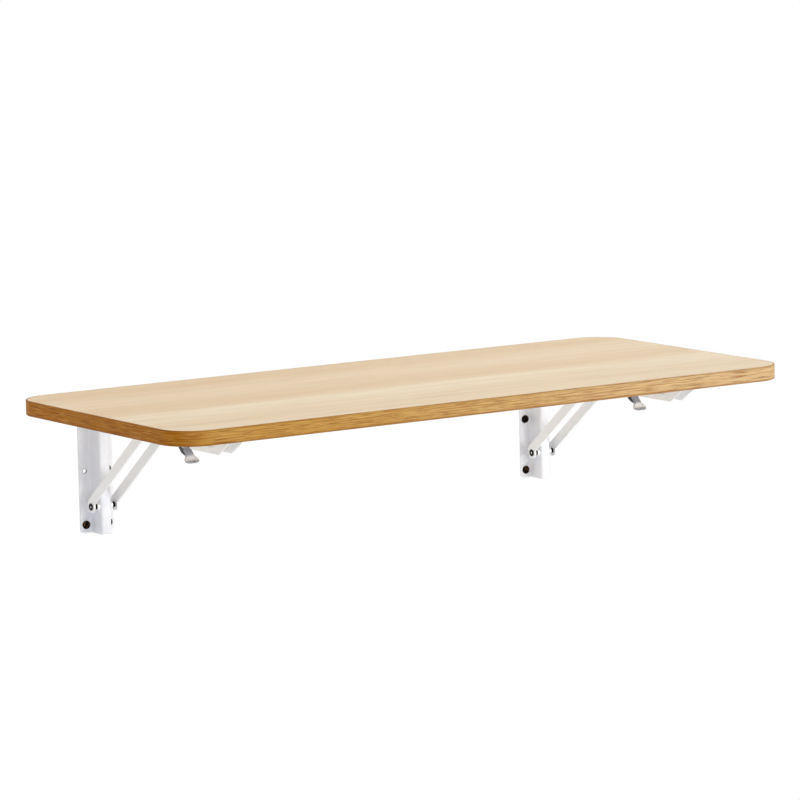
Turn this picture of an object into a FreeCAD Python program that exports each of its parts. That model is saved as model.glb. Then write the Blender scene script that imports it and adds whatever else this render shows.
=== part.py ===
"""Wall mounted drop leaf table: a laminated board on two folding steel brackets.

Frame, in millimetres: X runs along the wall, the wall's face is the plane Y = 0 and the
room is at -Y, Z is up. The origin is the centre of the wall screws' pattern. Side outlines
are drawn as (depth, z), where depth is the distance from the wall, so depth = -Y.
"""

import FreeCAD, Part

import math
import os

Vector = FreeCAD.Vector

# ---------------------------------------------------------------- table top
board_length = 900.0
board_depth = 400.0
board_wall_gap = 1.0
core_thickness = 18.0
facing_thickness = 0.3
band_thickness = 2.0
band_edge_radius = 1.0
corner_radius = 45.0

# ---------------------------------------------------------------- brackets
bracket_spacing = 672.0
pin_wall_distance = 18.5  # hinge pin and pivot rivet, from the wall
running_clearance = 0.05  # radial, where a piece turns on a pin
face_clearance = 0.3  # between faces that move past each other

# wall plate, a hat section
plate_sheet = 1.8
plate_bend_radius = 1.2
hat_width = 15.0
hat_depth = 25.5
flange_width = 16.5
flange_corner_radius = 5.0
plate_tail = 35.2  # plate below the pivot rivet
hole_pitch = 68.0
hole_end_distance = 10.5  # from the plate's lower end
hole_edge_distance = 8.0

# wall screws
wall_screw_radius = 2.25
wall_screw_neck_radius = 2.0
wall_screw_hole_clearance = 0.35
wall_screw_length = 36.0  # behind the plate
wall_screw_point = 6.8
wall_screw_head_radius = 5.3
wall_screw_head_height = 3.2
wall_screw_head_rounding = 1.9
recess_width = 1.1
recess_span = 5.4
recess_depth = 1.6

# hinge between wall plate and arm
hinge_drop = 15.7  # hinge axis below the board's underside
hinge_pin_radius = 4.0
hinge_head_radius = 6.0
hinge_head_thickness = 1.6
nose_clearance = 0.6  # between the hat's round top and the arm's web

# support arm, a channel open downwards
arm_sheet = 2.0
arm_bend_radius = 0.8
arm_side_clearance = 0.8  # between the hat's side and the arm's wall
arm_height = 27.0
arm_rear_clearance = 0.7  # between the arm's round rear end and the flange
arm_tip = 41.9  # arm beyond the slot's end
arm_chamfer_length = 32.5
arm_chamfer_angle = 33.7
slot_clearance = 0.1
notch_clearance = 0.8

# brace: two flat bars with a lobe at the pivot
pivot_drop = 110.0  # pivot rivet below the hinge axis
pin_reach = 133.5  # slider pin from the hinge axis, table open
bar_standoff = 5.1  # between arm wall and bar
bar_thickness = 2.0
bar_width = 13.0
bar_offset = 4.5  # pivot below the bar's centre line
lobe_radius = 7.5
pivot_rivet_radius = 3.0
pivot_shoulder_radius = 3.6  # between the bars
pivot_head_radius = 4.6
pivot_head_thickness = 1.2
pivot_bore_radius = 1.7
pivot_bore_depth = 3.5
spacer_wall = 2.0
spacer_length = 3.3
end_rivet_radius = 3.0
end_rivet_head_radius = 4.6
end_rivet_head_thickness = 1.2

# slider pin and its collars
slider_pin_radius = 3.5
slider_collar_wall = 2.0
slider_collar_length = 3.0

# screws from the arm into the board
board_screw_count = 4
board_screw_radius = 1.9
board_screw_grip = 13.0  # thread inside the board
board_screw_hole_clearance = 0.3
board_screw_head_radius = 3.6
board_screw_head_height = 1.9
board_screw_crown_radius = 2.2  # flat of the head
board_screw_edge_height = 0.9  # straight side of the head
board_screw_point = 2.5
board_screw_first = 27.0  # first screw from the hinge axis
board_screw_last = 22.0  # last screw from the arm's front end

# release lever
lever_sheet = 1.6
lever_bend_radius = 4.0
lever_half_width = 6.5
lever_nose_half_width = 4.8
lever_nose_length = 14.0
lever_drop = 1.9  # strip below the slider pin's path
catch_gap = 0.4
catch_height = 1.5
lever_pivot_reach = 25.0  # lever pivot from the catch
lever_level_length = 32.7  # strip in front of the lever pivot
lever_slope_length = 26.5
lever_slope = 33.0
pad_slope = 62.0
pad_length = 8.5
pad_half_width = 10.5
pad_corner_radius = 5.5
lip_slope = 15.0
lip_length = 4.0
lever_travel = 12.0  # clears the wall when the table hangs folded
lever_pin_radius = 1.5
lever_pin_head_radius = 2.6
lever_pin_head_thickness = 0.8
lever_pin_below_strip = 2.4
ear_radius = 2.6
ear_half_length = 5.0
ear_sheet = 1.4

# lever spring, a torsion spring round the lever pin
spring_wire_radius = 0.35
spring_pin_gap = 0.15
spring_turns = 4
spring_pitch = 0.85
spring_leg_length = 14.0
spring_anchor_reach = 12.0

# ---------------------------------------------------------------- derived places
board_thickness = core_thickness + 2 * facing_thickness
hat_half = hat_width / 2
plate_half = hat_half + flange_width
nose_radius = hinge_drop - arm_sheet - nose_clearance
plate_bottom = -hole_pitch - hole_end_distance
plate_top = plate_bottom + plate_tail + pivot_drop + nose_radius
hinge_z = plate_top - nose_radius
underside_z = hinge_z + hinge_drop
top_z = underside_z + board_thickness
pivot_z = hinge_z - pivot_drop
hole_x = plate_half - hole_edge_distance
hole_rows = (-hole_pitch, 0.0, hole_pitch)
wall_hole_radius = wall_screw_radius + wall_screw_hole_clearance

arm_inner = hat_half + arm_side_clearance
arm_outer = arm_inner + arm_sheet
arm_bottom = underside_z - arm_height
bar_inner = arm_outer + bar_standoff
bar_outer = bar_inner + bar_thickness
spacer_radius = pivot_shoulder_radius + spacer_wall

link_length = math.hypot(pivot_drop, pin_reach)
link_angle = math.degrees(math.atan2(pivot_drop, pin_reach))
folded_reach = pivot_drop + link_length
pin_depth = pin_wall_distance + pin_reach
slot_end_depth = pin_wall_distance + folded_reach
arm_front = slot_end_depth + slider_pin_radius + arm_tip

strip_top = hinge_z - slider_pin_radius - lever_drop
strip_middle = strip_top - lever_sheet / 2
lever_pin_z = strip_top - lever_sheet - lever_pin_below_strip
catch_depth = pin_depth + slider_pin_radius + catch_gap
lever_pin_depth = catch_depth + lever_pivot_reach
spring_radius = lever_pin_radius + spring_pin_gap + spring_wire_radius

hinge = (pin_wall_distance, hinge_z)
pivot = (pin_wall_distance, pivot_z)
slider = (pin_depth, hinge_z)
lever_axis = (lever_pin_depth, lever_pin_z)
board_rear = board_wall_gap
board_front = board_wall_gap + board_depth
far = 1000.0  # longer than any piece that a cutter passes through
beyond = 1.0  # how far a cutter goes past a face


# ---------------------------------------------------------------- outlines
def polar(centre, radius, angle):
    """Point at an angle in degrees on a circle."""
    turn = math.radians(angle)
    return (centre[0] + radius * math.cos(turn), centre[1] + radius * math.sin(turn))


def arc(centre, radius, start, end):
    """Three points of an arc: its start, its middle and its end."""
    middle = (start + end) / 2
    return tuple(polar(centre, radius, angle) for angle in (start, middle, end))


def outline(place, *items):
    """Closed face through points and arcs, joined by straight edges."""
    runs = [item if isinstance(item[0], tuple) else (item,) for item in items]
    edges = []
    for index, run in enumerate(runs):
        spots = [place(*spot) for spot in run]
        if len(spots) == 3:
            edges.append(Part.Arc(*spots).toShape())
        following = place(*runs[(index + 1) % len(runs)][0])
        if (following - spots[-1]).Length > 1e-6:
            edges.append(Part.LineSegment(spots[-1], following).toShape())
    return Part.Face(Part.Wire(edges))


def reversed_run(items):
    """Points and arcs in the opposite order."""
    return [item[::-1] if isinstance(item[0], tuple) else item for item in items[::-1]]


def side(x):
    """Places (depth, z) in the plane X = x."""
    return lambda depth, z: Vector(x, -depth, z)


def plan(z):
    """Places (x, depth) in the plane Z = z."""
    return lambda x, depth: Vector(x, -depth, z)


def across(depth):
    """Places (x, z) in the plane at a depth."""
    return lambda x, z: Vector(x, -depth, z)


def side_prism(half_width, *items):
    """Side outline made solid over -half_width to half_width."""
    return outline(side(-half_width), *items).extrude(Vector(2 * half_width, 0, 0))


def rod(x0, x1, spot, radius):
    """Cylinder along X, with its axis at (depth, z)."""
    return Part.makeCylinder(radius, x1 - x0, side(x0)(*spot), Vector(1, 0, 0))


def both_sides(x0, x1, spot, radius):
    """Two cylinders along X, mirrored about the bracket's middle."""
    return [rod(x0, x1, spot, radius), rod(-x1, -x0, spot, radius)]


def upright(x, depth, z0, z1, radius):
    """Cylinder along Z."""
    return Part.makeCylinder(radius, z1 - z0, Vector(x, -depth, z0))


def box(x0, x1, depth0, depth1, z0, z1):
    """Box between two depths."""
    return Part.makeBox(x1 - x0, depth1 - depth0, z1 - z0, Vector(x0, -depth1, z0))


def edges_along(shape, axis):
    """Straight edges that run along an axis."""
    found = []
    for edge in shape.Edges:
        run = edge.Vertexes[-1].Point - edge.Vertexes[0].Point
        if run.Length > 1e-6 and abs(abs(run.normalize().dot(axis)) - 1) < 1e-6:
            found.append(edge)
    return found


def cut_all(shape, cutters):
    """Shape with every cutter taken out."""
    for cutter in cutters:
        shape = shape.cut(cutter)
    return shape


def fuse_all(first, others):
    """One solid from touching or overlapping pieces."""
    return first.multiFuse(others).removeSplitter()


def strip(points, radius, thickness, half_width):
    """Bent sheet strip: a path of (depth, z) points with rounded corners, made thick and wide."""
    left, right = [], []
    runs = [(b[0] - a[0], b[1] - a[1]) for a, b in zip(points, points[1:])]
    headings = [math.atan2(run[1], run[0]) for run in runs]

    def beside(spot, heading, offset):
        return (spot[0] - offset * math.sin(heading), spot[1] + offset * math.cos(heading))

    half = thickness / 2
    left.append(beside(points[0], headings[0], half))
    right.append(beside(points[0], headings[0], -half))
    for spot, before, after in zip(points[1:-1], headings, headings[1:]):
        bend = (after - before + math.pi) % (2 * math.pi) - math.pi
        hand = math.copysign(1, bend)
        back = radius * math.tan(abs(bend) / 2)
        tangent = (spot[0] - back * math.cos(before), spot[1] - back * math.sin(before))
        centre = beside(tangent, before, hand * radius)
        start = math.degrees(before) - 90 * hand
        end = start + math.degrees(bend)
        left.append(arc(centre, radius - hand * half, start, end))
        right.append(arc(centre, radius + hand * half, start, end))
    left.append(beside(points[-1], headings[-1], half))
    right.append(beside(points[-1], headings[-1], -half))
    return side_prism(half_width, *left, *reversed_run(right))


# ---------------------------------------------------------------- table top
def slab(inset, z0, z1):
    """Board outline with rounded corners, inset from the finished edge."""
    half = board_length / 2 - inset
    block = box(-half, half, board_rear + inset, board_front - inset, z0, z1)
    return block.makeFillet(corner_radius - inset, edges_along(block, Vector(0, 0, 1)))


def screw_depths():
    """Depths of the board screws along an arm."""
    first = pin_wall_distance + board_screw_first
    pitch = (arm_front - board_screw_last - first) / (board_screw_count - 1)
    return [first + pitch * index for index in range(board_screw_count)]


def pilot_holes():
    """Holes that the board screws cut in the board."""
    top = underside_z + board_screw_grip
    return [
        upright(x, depth, underside_z - beyond, top, board_screw_radius)
        for x in (-bracket_spacing / 2, bracket_spacing / 2)
        for depth in screw_depths()
    ]


def board_core():
    """Chipboard panel with the pilot holes."""
    core = slab(band_thickness, underside_z + facing_thickness, top_z - facing_thickness)
    return cut_all(core, pilot_holes())


def top_facing():
    """Laminate sheet on top of the core."""
    return slab(band_thickness, top_z - facing_thickness, top_z)


def underside_facing():
    """Laminate sheet under the core."""
    sheet = slab(band_thickness, underside_z, underside_z + facing_thickness)
    return cut_all(sheet, pilot_holes())


def edge_band():
    """Band round the panel, with softened outer edges."""
    outer = slab(0, underside_z, top_z)
    rims = [
        edge
        for edge in outer.Edges
        if abs(edge.Vertexes[0].Z - edge.Vertexes[-1].Z) < 1e-6
    ]
    outer = outer.makeFillet(band_edge_radius, rims)
    return outer.cut(slab(band_thickness, underside_z - beyond, top_z + beyond))


# ---------------------------------------------------------------- wall plate
def hat_half_section():
    """Plan points of the hat's right half: its room side and its wall side, from flange to crown."""
    bend = plate_bend_radius
    wide = bend + plate_sheet
    foot = (hat_half + bend, wide)
    crown = (hat_half - wide, hat_depth - wide)
    room_side = [(plate_half, plate_sheet), arc(foot, bend, 270, 180), arc(crown, wide, 0, 90)]
    wall_side = [(plate_half, 0.0), arc(foot, wide, 270, 180), arc(crown, bend, 0, 90)]
    return room_side, wall_side


def opposite_points(items):
    """Points and arcs mirrored to -X, in the opposite order."""
    return [
        tuple((-x, depth) for x, depth in item[::-1]) if isinstance(item[0], tuple) else (-item[0], item[1])
        for item in items[::-1]
    ]


def hat_section():
    """Plan section of the wall plate, bent from one sheet."""
    room_side, wall_side = hat_half_section()
    behind = [*wall_side, *opposite_points(wall_side)]
    return outline(plan(plate_bottom), *room_side, *opposite_points(room_side), *reversed_run(behind))


def wall_plate():
    """Hat-section plate with a round nose, six screw holes and two pin holes."""
    plate = hat_section().extrude(Vector(0, 0, plate_top - plate_bottom))
    corners = [
        edge
        for edge in edges_along(plate, Vector(0, 1, 0))
        if abs(abs(edge.Vertexes[0].X) - plate_half) < 1e-6
    ]
    plate = plate.makeFillet(flange_corner_radius, corners)
    front = hat_depth + nose_radius
    nose = side_prism(
        plate_half,
        (pin_wall_distance, plate_top + beyond),
        (front, plate_top + beyond),
        (front, hinge_z),
        arc(hinge, nose_radius, 0, 90),
    )
    holes = [
        Part.makeCylinder(wall_hole_radius, far, Vector(x, far / 2, z), Vector(0, -1, 0))
        for x in (-hole_x, hole_x)
        for z in hole_rows
    ]
    pins = [
        rod(-plate_half, plate_half, hinge, hinge_pin_radius),
        rod(-plate_half, plate_half, pivot, pivot_shoulder_radius),
    ]
    return cut_all(plate, [nose, *holes, *pins])


def wall_screw():
    """Pan-head screw along Y at the origin, its head's seat at the plate's front."""
    seat = plate_sheet
    crown = seat + wall_screw_head_height
    rounding = wall_screw_head_rounding
    rounding_centre = (wall_screw_head_radius - rounding, crown - rounding)
    section = outline(
        lambda radius, depth: Vector(radius, -depth, 0),
        (0.0, crown),
        arc(rounding_centre, rounding, 90, 0),
        (wall_screw_head_radius, seat),
        (wall_screw_neck_radius, seat),
        (wall_screw_neck_radius, 0.0),
        (wall_screw_radius, 0.0),
        (wall_screw_radius, wall_screw_point - wall_screw_length),
        (0.0, -wall_screw_length),
    )
    body = section.revolve(Vector(0, 0, 0), Vector(0, 1, 0), 360)
    half_span = recess_span / 2
    half_slot = recess_width / 2
    floor = crown - recess_depth
    slots = [
        box(-half_span, half_span, floor, crown + beyond, -half_slot, half_slot),
        box(-half_slot, half_slot, floor, crown + beyond, -half_span, half_span),
    ]
    return cut_all(body, slots)


def wall_screws(empty_side):
    """Five screws of a plate: the outer hole of the middle row stays empty."""
    screws = []
    for x in (-hole_x, hole_x):
        for z in hole_rows:
            if z == 0.0 and x * empty_side > 0:
                continue
            screw = wall_screw()
            screw.translate(Vector(x, 0, z))
            screws.append(screw)
    return Part.makeCompound(screws)


def headed_pin(half_length, spot, radius, head_radius, head_thickness):
    """Pin along X with a flat head at each end."""
    shank = rod(-half_length, half_length, spot, radius)
    heads = both_sides(half_length, half_length + head_thickness, spot, head_radius)
    return fuse_all(shank, heads)


def hinge_pin():
    """Pin that the arm turns on, fixed in the wall plate."""
    return headed_pin(
        arm_outer + face_clearance, hinge, hinge_pin_radius, hinge_head_radius, hinge_head_thickness
    )


def pivot_rivet():
    """Shouldered rivet with tubular ends: the brace bars turn on its ends, off the shoulders."""
    half_length = bar_outer + face_clearance
    rivet = headed_pin(
        half_length, pivot, pivot_rivet_radius, pivot_head_radius, pivot_head_thickness
    )
    shoulder = bar_inner - running_clearance
    rivet = fuse_all(rivet, [rod(-shoulder, shoulder, pivot, pivot_shoulder_radius)])
    end = half_length + pivot_head_thickness
    return cut_all(rivet, both_sides(end - pivot_bore_depth, end, pivot, pivot_bore_radius))


def tube_pair(x0, x1, spot, radius, bore):
    """Two equal collars on one axis, one each side of the bracket."""
    outer = both_sides(x0, x1, spot, radius)
    inner = both_sides(x0, x1, spot, bore)
    return Part.makeCompound([tube.cut(hole) for tube, hole in zip(outer, inner)])


def pivot_spacers():
    """Collars that hold the rivet's shoulder square in the wall plate."""
    end = hat_half + spacer_length
    return tube_pair(hat_half, end, pivot, spacer_radius, pivot_shoulder_radius)


# ---------------------------------------------------------------- support arm
def arm_section():
    """Channel section across the arm, open downwards."""
    wide = arm_bend_radius + arm_sheet
    corner = (arm_outer - wide, underside_z - wide)
    left = (-corner[0], corner[1])
    return outline(
        across(0),
        (arm_outer, arm_bottom),
        arc(corner, wide, 0, 90),
        arc(left, wide, 90, 180),
        (-arm_outer, arm_bottom),
        (-arm_inner, arm_bottom),
        arc(left, arm_bend_radius, 180, 90),
        arc(corner, arm_bend_radius, 90, 0),
        (arm_inner, arm_bottom),
    )


def arm_silhouette():
    """Side outline of the arm: round at the hinge, chamfered at the front."""
    rear_radius = pin_wall_distance - plate_sheet - arm_rear_clearance
    below = math.degrees(math.asin((hinge_z - arm_bottom) / rear_radius))
    chamfer_rise = arm_chamfer_length * math.tan(math.radians(arm_chamfer_angle))
    return side_prism(
        arm_outer,
        (pin_wall_distance - rear_radius, underside_z),
        (arm_front, underside_z),
        (arm_front, arm_bottom + chamfer_rise),
        (arm_front - arm_chamfer_length, arm_bottom),
        arc(hinge, rear_radius, 180 + below, 180),
    )


def slot():
    """Long slot that the slider pin runs in, through both walls."""
    radius = slider_pin_radius + slot_clearance
    start = (pin_depth - face_clearance, hinge_z)
    end = (slot_end_depth + face_clearance, hinge_z)
    return side_prism(arm_outer, arc(start, radius, 90, 270), arc(end, radius, -90, 90))


def pivot_notch():
    """Notch in the arm's lower edges, where it folds over the pivot spacers."""
    radius = spacer_radius + notch_clearance
    centre = (pin_wall_distance + pivot_drop, hinge_z)
    return side_prism(
        arm_outer,
        arc(centre, radius, 0, 180),
        (centre[0] - radius, arm_bottom - beyond),
        (centre[0] + radius, arm_bottom - beyond),
    )


def pressed_place(spot):
    """Where a point of the lever goes when the lever is pressed right up."""
    reach = math.dist(lever_axis, spot)
    angle = math.degrees(math.atan2(spot[1] - lever_pin_z, spot[0] - lever_pin_depth))
    return polar(lever_axis, reach, angle + lever_travel)


def pad_notch():
    """Notch in the arm's lower edges, where the pressed thumb pad goes in."""
    _, _, bend, _, lip = lever_path()
    rear = bend[0] - lever_sheet - notch_clearance
    front = pressed_place(lip)[0] + lever_sheet + notch_clearance
    top = pressed_place(bend)[1] + lever_sheet / 2 + notch_clearance
    return box(-arm_outer, arm_outer, rear, front, arm_bottom - beyond, top)


def spring_anchor():
    """Where the spring's fixed leg enters the arm's wall."""
    return (lever_pin_depth + spring_anchor_reach, lever_pin_z + spring_radius)


def support_arm():
    """Channel arm with its holes, slots and notches."""
    channel = arm_section().extrude(Vector(0, -arm_front, 0)).common(arm_silhouette())
    hole = board_screw_radius + board_screw_hole_clearance
    cutters = [
        rod(-arm_outer, arm_outer, hinge, hinge_pin_radius + running_clearance),
        rod(-arm_outer, arm_outer, lever_axis, lever_pin_radius),
        rod(0, arm_outer, spring_anchor(), spring_wire_radius + running_clearance),
        slot(),
        pivot_notch(),
        pad_notch(),
    ]
    cutters += [
        upright(0, depth, underside_z - arm_sheet - beyond, underside_z + beyond, hole)
        for depth in screw_depths()
    ]
    return cut_all(channel, cutters).removeSplitter()


def board_screw(depth):
    """Pan-head screw up through the arm's web into the board."""
    seat = underside_z - arm_sheet
    crown = seat - board_screw_head_height
    tip = underside_z + board_screw_grip
    section = outline(
        lambda radius, z: Vector(radius, 0, z),
        (0.0, crown),
        (board_screw_crown_radius, crown),
        (board_screw_head_radius, seat - board_screw_edge_height),
        (board_screw_head_radius, seat),
        (board_screw_radius, seat),
        (board_screw_radius, tip - board_screw_point),
        (0.0, tip),
    )
    screw = section.revolve(Vector(0, 0, 0), Vector(0, 0, 1), 360)
    screw.translate(Vector(0, -depth, 0))
    return screw


def board_screws():
    """Row of screws that holds the arm to the board."""
    return Part.makeCompound([board_screw(depth) for depth in screw_depths()])


# ---------------------------------------------------------------- brace and slider
def brace_bar():
    """Flat bar at +X, straight from the slider pin to a lobe round the pivot rivet."""
    tilt = link_angle - math.degrees(math.asin(bar_offset / link_length))
    along = math.sqrt(link_length**2 - bar_offset**2)
    lower = polar(slider, along, tilt + 180)
    half = bar_width / 2
    stadium = (
        arc(slider, half, tilt - 90, tilt + 90),
        arc(lower, half, tilt + 90, tilt + 270),
    )
    bar = outline(side(bar_inner), *stadium).extrude(Vector(bar_thickness, 0, 0))
    bar = fuse_all(bar, [rod(bar_inner, bar_outer, pivot, lobe_radius)])
    cutters = [
        rod(bar_inner, bar_outer, pivot, pivot_rivet_radius + running_clearance),
        rod(bar_inner, bar_outer, slider, end_rivet_radius),
    ]
    return cut_all(bar, cutters)


def opposite(shape):
    """The same piece on the bracket's other side."""
    return shape.mirror(Vector(0, 0, 0), Vector(1, 0, 0))


def end_rivet():
    """Riveted end of the slider pin in a bar."""
    shank = rod(bar_inner, bar_outer, slider, end_rivet_radius)
    head_end = bar_outer + end_rivet_head_thickness
    return fuse_all(shank, [rod(bar_outer, head_end, slider, end_rivet_head_radius)])


def end_rivets():
    """The riveted ends in both bars."""
    return Part.makeCompound([end_rivet(), opposite(end_rivet())])


def slider_pin():
    """Pin through the arm's slots, just short of the bars."""
    end = bar_inner - face_clearance
    return rod(-end, end, slider, slider_pin_radius)


def slider_collars():
    """Collars that keep the slider pin central in the arm."""
    start = arm_outer + face_clearance
    radius = slider_pin_radius + slider_collar_wall
    return tube_pair(start, start + slider_collar_length, slider, radius, slider_pin_radius)


# ---------------------------------------------------------------- release lever
def lever_path():
    """Middle line of the lever strip: catch, level run's end, pad's bend, curl and lip."""
    front = (lever_pin_depth + lever_level_length, strip_middle)
    nose = (catch_depth + lever_sheet / 2, strip_middle)
    bend = polar(front, lever_slope_length, -lever_slope)
    curl = polar(bend, pad_length, -pad_slope)
    lip = polar(curl, lip_length, -lip_slope)
    return nose, front, bend, curl, lip


def lever_front_outline():
    """Face as seen from the room: an even strip that flares to a pad with a rounded lip."""
    _, _, bend, _, lip = lever_path()
    radius = pad_corner_radius
    base = lip[1] - lever_sheet / 2
    corner = (pad_half_width - radius, base + radius)
    left = (-corner[0], corner[1])
    return outline(
        across(0),
        (-lever_half_width, underside_z),
        (lever_half_width, underside_z),
        (lever_half_width, bend[1]),
        arc(corner, radius, 0, -90),
        arc(left, radius, -90, -180),
        (-lever_half_width, bend[1]),
    )


def lever_ears():
    """Side ears that carry the lever on its pin."""
    inner = lever_half_width - ear_sheet
    rear = lever_pin_depth - ear_half_length
    front = lever_pin_depth + ear_half_length
    top = strip_middle
    profile = (
        (rear, top),
        (rear, lever_pin_z),
        polar(lever_axis, ear_radius, -135),
        polar(lever_axis, ear_radius, -90),
        polar(lever_axis, ear_radius, -45),
        (front, lever_pin_z),
        (front, top),
    )
    ears = side_prism(lever_half_width, *profile)
    return ears.cut(side_prism(inner, *profile))


def release_lever():
    """Bent strip with a catch, two ears and a thumb pad with a curled lip."""
    sheet = strip(lever_path(), lever_bend_radius, lever_sheet, pad_half_width)
    body = sheet.common(lever_front_outline().extrude(Vector(0, -arm_front, 0)))
    catch = box(
        -lever_nose_half_width,
        lever_nose_half_width,
        catch_depth,
        catch_depth + lever_sheet,
        strip_middle,
        strip_top + catch_height,
    )
    lever = fuse_all(body, [catch, lever_ears()])
    nose_end = catch_depth + lever_nose_length
    rear = catch_depth - beyond
    trims = [
        box(x0, x1, rear, nose_end, lever_pin_z, underside_z)
        for x0, x1 in (
            (lever_nose_half_width, pad_half_width),
            (-pad_half_width, -lever_nose_half_width),
        )
    ]
    hole = rod(-lever_half_width, lever_half_width, lever_axis, lever_pin_radius + running_clearance)
    return cut_all(lever, [*trims, hole])


def lever_pin():
    """Pin that carries the lever in the arm's walls."""
    return headed_pin(
        arm_outer, lever_axis, lever_pin_radius, lever_pin_head_radius, lever_pin_head_thickness
    )


def lever_spring():
    """Torsion spring: a free leg under the lever's nose, a fixed leg hooked in the arm's wall."""
    height = spring_turns * spring_pitch
    helix = Part.makeHelix(spring_pitch, height, spring_radius)
    start = Vector(spring_radius, 0, 0)
    section = Part.Wire(Part.makeCircle(spring_wire_radius, start, Vector(0, 1, 0)))
    coil = Part.Wire(helix.Edges).makePipeShell([section], True, True)
    coil.rotate(Vector(0, 0, 0), Vector(0, 1, 0), 90)
    coil.rotate(Vector(0, 0, 0), Vector(1, 0, 0), 180)
    coil.translate(Vector(-height / 2, -lever_pin_depth, lever_pin_z))
    level = lever_pin_z + spring_radius
    wire = spring_wire_radius
    free_start = Vector(-height / 2, -lever_pin_depth, level)
    free_leg = Part.makeCylinder(wire, spring_leg_length, free_start, Vector(0, 1, 0))
    fixed_start = Vector(height / 2, -lever_pin_depth, level)
    fixed_leg = Part.makeCylinder(wire, spring_anchor_reach, fixed_start, Vector(0, -1, 0))
    elbow_centre = Vector(height / 2, -spring_anchor()[0], level)
    elbow = Part.makeSphere(wire, elbow_centre)
    hook = Part.makeCylinder(wire, arm_outer - height / 2, elbow_centre, Vector(1, 0, 0))
    return fuse_all(coil, [free_leg, fixed_leg, elbow, hook])


# ---------------------------------------------------------------- nodes
def save(node, shape, x=0.0):
    """Writes one node, moved along the wall, as a STEP file."""
    placed = shape.copy()
    placed.translate(Vector(x, 0, 0))
    count = len(placed.Solids)
    if not placed.isValid() or count == 0:
        raise ValueError(f"{node} isn't a valid solid")
    placed.exportStep(f"parts/{node}.step")
    print(f"{node}: {count} solid(s), {placed.Volume:.1f} mm3")


def main():
    """Builds every node."""
    os.makedirs("parts", exist_ok=True)
    save("board_core", board_core())
    save("top_facing", top_facing())
    save("underside_facing", underside_facing())
    save("edge_band", edge_band())
    bar = brace_bar()
    pieces = {
        "wall_plate": wall_plate(),
        "hinge_pin": hinge_pin(),
        "pivot_rivet": pivot_rivet(),
        "pivot_spacers": pivot_spacers(),
        "support_arm": support_arm(),
        "board_screws": board_screws(),
        "brace_end_rivets": end_rivets(),
        "slider_pin": slider_pin(),
        "slider_collars": slider_collars(),
        "release_lever": release_lever(),
        "lever_pin": lever_pin(),
        "lever_spring": lever_spring(),
    }
    for hand, sign in (("left", -1), ("right", 1)):
        x = sign * bracket_spacing / 2
        for name, piece in pieces.items():
            save(f"{name}_{hand}", piece, x)
        save(f"wall_screws_{hand}", wall_screws(sign), x)
        save(f"brace_bar_{hand}_outer", bar if sign > 0 else opposite(bar), x)
        save(f"brace_bar_{hand}_inner", opposite(bar) if sign > 0 else bar, x)


main()
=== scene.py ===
"""Looks of a wall mounted drop leaf table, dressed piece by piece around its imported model.

Everything is in metres, in the model's frame: X along the wall, the wall's face at Y = 0,
the room at -Y, Z up. "Depth" is the distance from the wall, so depth = -Y.
"""

import logging
import math
from collections.abc import Iterator
from contextlib import contextmanager
from dataclasses import dataclass
from enum import Enum

import bmesh
import bpy
import numpy as np
from mathutils import Matrix, Vector


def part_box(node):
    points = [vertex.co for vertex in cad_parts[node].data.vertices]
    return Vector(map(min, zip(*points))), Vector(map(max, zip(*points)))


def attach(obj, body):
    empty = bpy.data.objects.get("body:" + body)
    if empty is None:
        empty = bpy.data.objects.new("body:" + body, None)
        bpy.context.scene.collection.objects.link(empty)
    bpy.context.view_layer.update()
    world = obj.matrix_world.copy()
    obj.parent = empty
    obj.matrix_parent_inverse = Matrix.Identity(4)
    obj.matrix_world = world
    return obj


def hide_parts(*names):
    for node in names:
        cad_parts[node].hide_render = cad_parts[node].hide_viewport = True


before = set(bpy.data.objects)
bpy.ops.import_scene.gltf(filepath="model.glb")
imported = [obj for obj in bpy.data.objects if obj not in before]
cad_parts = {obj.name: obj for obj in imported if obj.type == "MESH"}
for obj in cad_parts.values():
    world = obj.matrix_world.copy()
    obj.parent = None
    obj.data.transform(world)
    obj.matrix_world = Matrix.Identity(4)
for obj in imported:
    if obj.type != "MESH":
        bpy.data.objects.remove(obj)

LOG = logging.getLogger("drop_leaf_table")
MM = 0.001
TURN = 2 * math.pi
BEND_STEPS = 8  # steps of the arc that rounds one bend of a path
CREASE = 35.0  # degrees between two faces from which their edge stays sharp

Array = np.ndarray
Mesh = bpy.types.Mesh
Socket = bpy.types.NodeSocket
Tree = bpy.types.NodeTree
Inputs = dict[str | int, object]
Pair = tuple[float, float]
Triple = tuple[float, float, float]
Floats = tuple[float, ...]


class Hand(Enum):
    """Which end of the wall a bracket stands at, with the sign of its X."""

    LEFT = -1
    RIGHT = 1

    @property
    def label(self) -> str:
        """Word that ends the names of this bracket's nodes and bodies."""
        return self.name.lower()


class Axis(Enum):
    """How a turned piece lies: its first, second and height directions in the model's frame."""

    ALONG_WALL = ((0, 1, 0), (0, 0, 1), (1, 0, 0))
    OUT_OF_WALL = ((1, 0, 0), (0, 0, 1), (0, -1, 0))
    DOWN = ((0, 1, 0), (1, 0, 0), (0, 0, -1))


# ---- meshes
def unit(vectors: Array) -> Array:
    """The same directions at length 1."""
    return vectors / np.linalg.norm(vectors, axis=-1, keepdims=True)


def placed(name: str, data: bpy.types.ID) -> bpy.types.Object:
    """New object in the scene.

    Args:
        name: Its name.
        data: The mesh, lamp or camera that it shows.

    Returns:
        The object.
    """
    thing = bpy.data.objects.new(name, data)
    bpy.context.scene.collection.objects.link(thing)
    return thing


def lengths_along(path: Array) -> Array:
    """Length from the start of a path to each of its points."""
    return np.concatenate([[0], np.cumsum(np.linalg.norm(np.diff(path, axis=0), axis=1))])


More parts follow.
